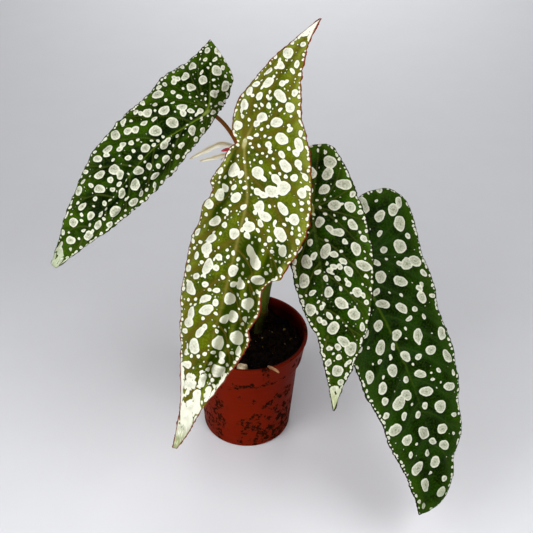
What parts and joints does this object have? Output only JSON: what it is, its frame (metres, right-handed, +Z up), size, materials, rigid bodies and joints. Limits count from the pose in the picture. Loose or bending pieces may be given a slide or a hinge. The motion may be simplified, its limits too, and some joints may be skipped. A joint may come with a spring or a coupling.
{
  "type": "potted polka dot begonia",
  "caption": "Potted polka dot begonia: an upright cane carries long, pointed, white-spotted leaves on arched stalks, growing from soil in a tapered plastic nursery pot.",
  "frame": {"origin": "centre of the pot's flat underside, on the surface that it stands on", "axes": "+Z up, -Y towards the plant's front, which the leaves face, +X to the right seen from the front"},
  "size_m": [0.1854, 0.1261, 0.2299],
  "materials": {
    "terracotta_plastic": "thin moulded plastic, satin, with dried splashes of soil",
    "peat": "moist crumbly peat mix",
    "cane_skin": "smooth green stem skin, browner at the joints",
    "petiole_skin": "smooth red-brown stalk skin",
    "dark_blade": "satin dark green leaf with raised silver-white spots, wine red below",
    "pale_blade": "satin yellow-green young leaf with raised cream spots, red below",
    "sheath": "thin papery cream sheath",
    "bud_skin": "smooth red folded young leaf",
    "perlite": "rough porous grain",
    "bark": "dry fibrous chip"
  },
  "bodies": {
    "root": {"pot": "terracotta_plastic", "soil": "peat", "cane": "cane_skin", "petiole_left": "petiole_skin", "petiole_centre": "petiole_skin", "petiole_right": "petiole_skin", "petiole_far_right": "petiole_skin", "leaf_left": "dark_blade", "leaf_centre": "pale_blade", "leaf_right": "dark_blade", "leaf_far_right": "dark_blade", "stipule_upper": "sheath", "stipule_lower": "sheath", "stipule_drooping": "sheath", "leaf_bud": "bud_skin", "perlite": "perlite", "bark_chip": "bark"}
  },
  "joints": []
}
